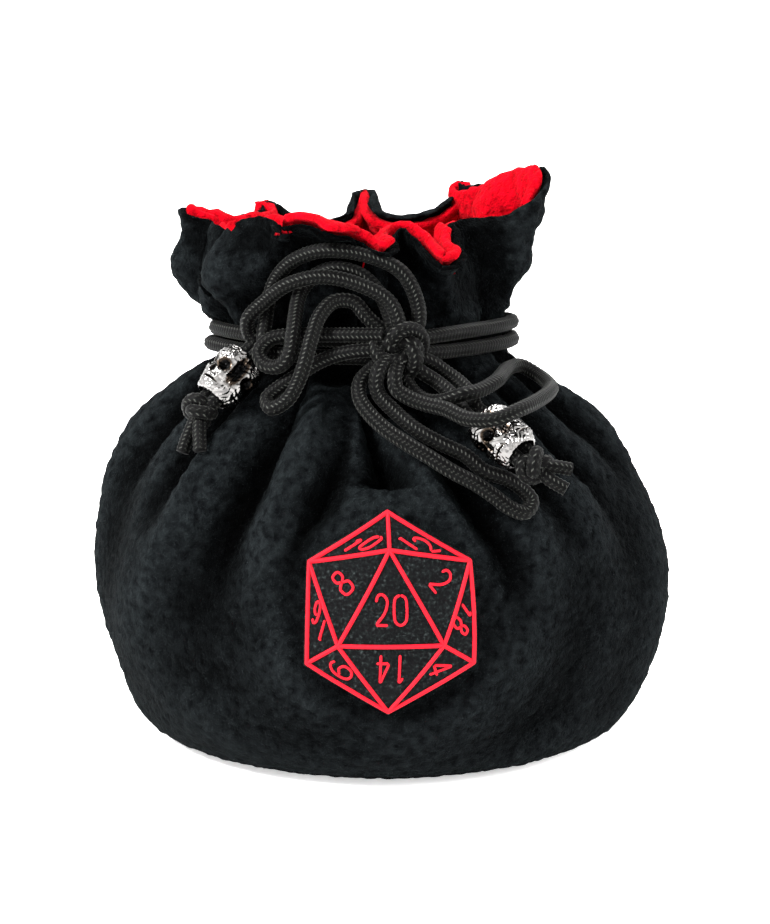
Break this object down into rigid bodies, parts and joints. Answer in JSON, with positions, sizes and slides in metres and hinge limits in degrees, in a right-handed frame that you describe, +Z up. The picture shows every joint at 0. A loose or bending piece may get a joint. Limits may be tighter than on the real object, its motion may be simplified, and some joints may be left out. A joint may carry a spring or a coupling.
{
  "type": "drawstring dice bag",
  "caption": "Lined plush drawstring pouch with a flat round base, embroidered die emblem, ruffled collar, tied cords and metal beads.",
  "frame": {"origin": "on the floor, under the middle of the pouch's flat base", "axes": "+Z up out of the pouch's mouth; the emblem faces -Y; +X to the viewer's right"},
  "size_m": [0.1763, 0.1788, 0.1731],
  "materials": {
    "shell_plush": "short-pile black plush",
    "lining_plush": "short-pile red plush",
    "base_board": "plain",
    "emblem_ground_thread": "filled embroidery, satin thread",
    "emblem_line_thread": "satin stitch",
    "drawcord_braid": "tight round braid",
    "bead_metal": "polished, dark in the recesses"
  },
  "bodies": {
    "bag": {"shell_front_pouch": "shell_plush", "shell_front_collar": "shell_plush", "shell_back_pouch": "shell_plush", "shell_back_collar": "shell_plush", "shell_base": "shell_plush", "lining_front_panel": "lining_plush", "lining_back_panel": "lining_plush", "lining_base": "lining_plush", "base_stiffener": "base_board", "emblem_ground": "emblem_ground_thread", "emblem_lines": "emblem_line_thread", "left_drawcord_in_channel": "drawcord_braid", "right_drawcord_in_channel": "drawcord_braid", "left_lead_upper": "drawcord_braid", "left_lead_lower": "drawcord_braid", "right_lead_lower": "drawcord_braid", "right_lead_upper": "drawcord_braid", "left_loop_upper": "drawcord_braid", "left_loop_lower": "drawcord_braid", "right_loop_upper": "drawcord_braid", "right_loop_lower": "drawcord_braid", "left_tail_1": "drawcord_braid", "left_tail_2": "drawcord_braid", "right_tail_1": "drawcord_braid", "right_tail_2": "drawcord_braid", "bow_knot": "drawcord_braid", "left_end_knot": "drawcord_braid", "right_end_knot": "drawcord_braid"},
    "left_cord_bead": {"left_bead": "bead_metal"},
    "right_cord_bead": {"right_bead": "bead_metal"}
  },
  "joints": [
    {"name": "left_bead_slide", "type": "slide", "parent": "bag", "child": "left_cord_bead", "axis": [0.6384, 0.3558, 0.6825], "range_m": [0, 0.0024]},
    {"name": "right_bead_slide", "type": "slide", "parent": "bag", "child": "right_cord_bead", "axis": [-0.6603, 0.5602, 0.5002], "range_m": [0, 0.0024]}
  ]
}
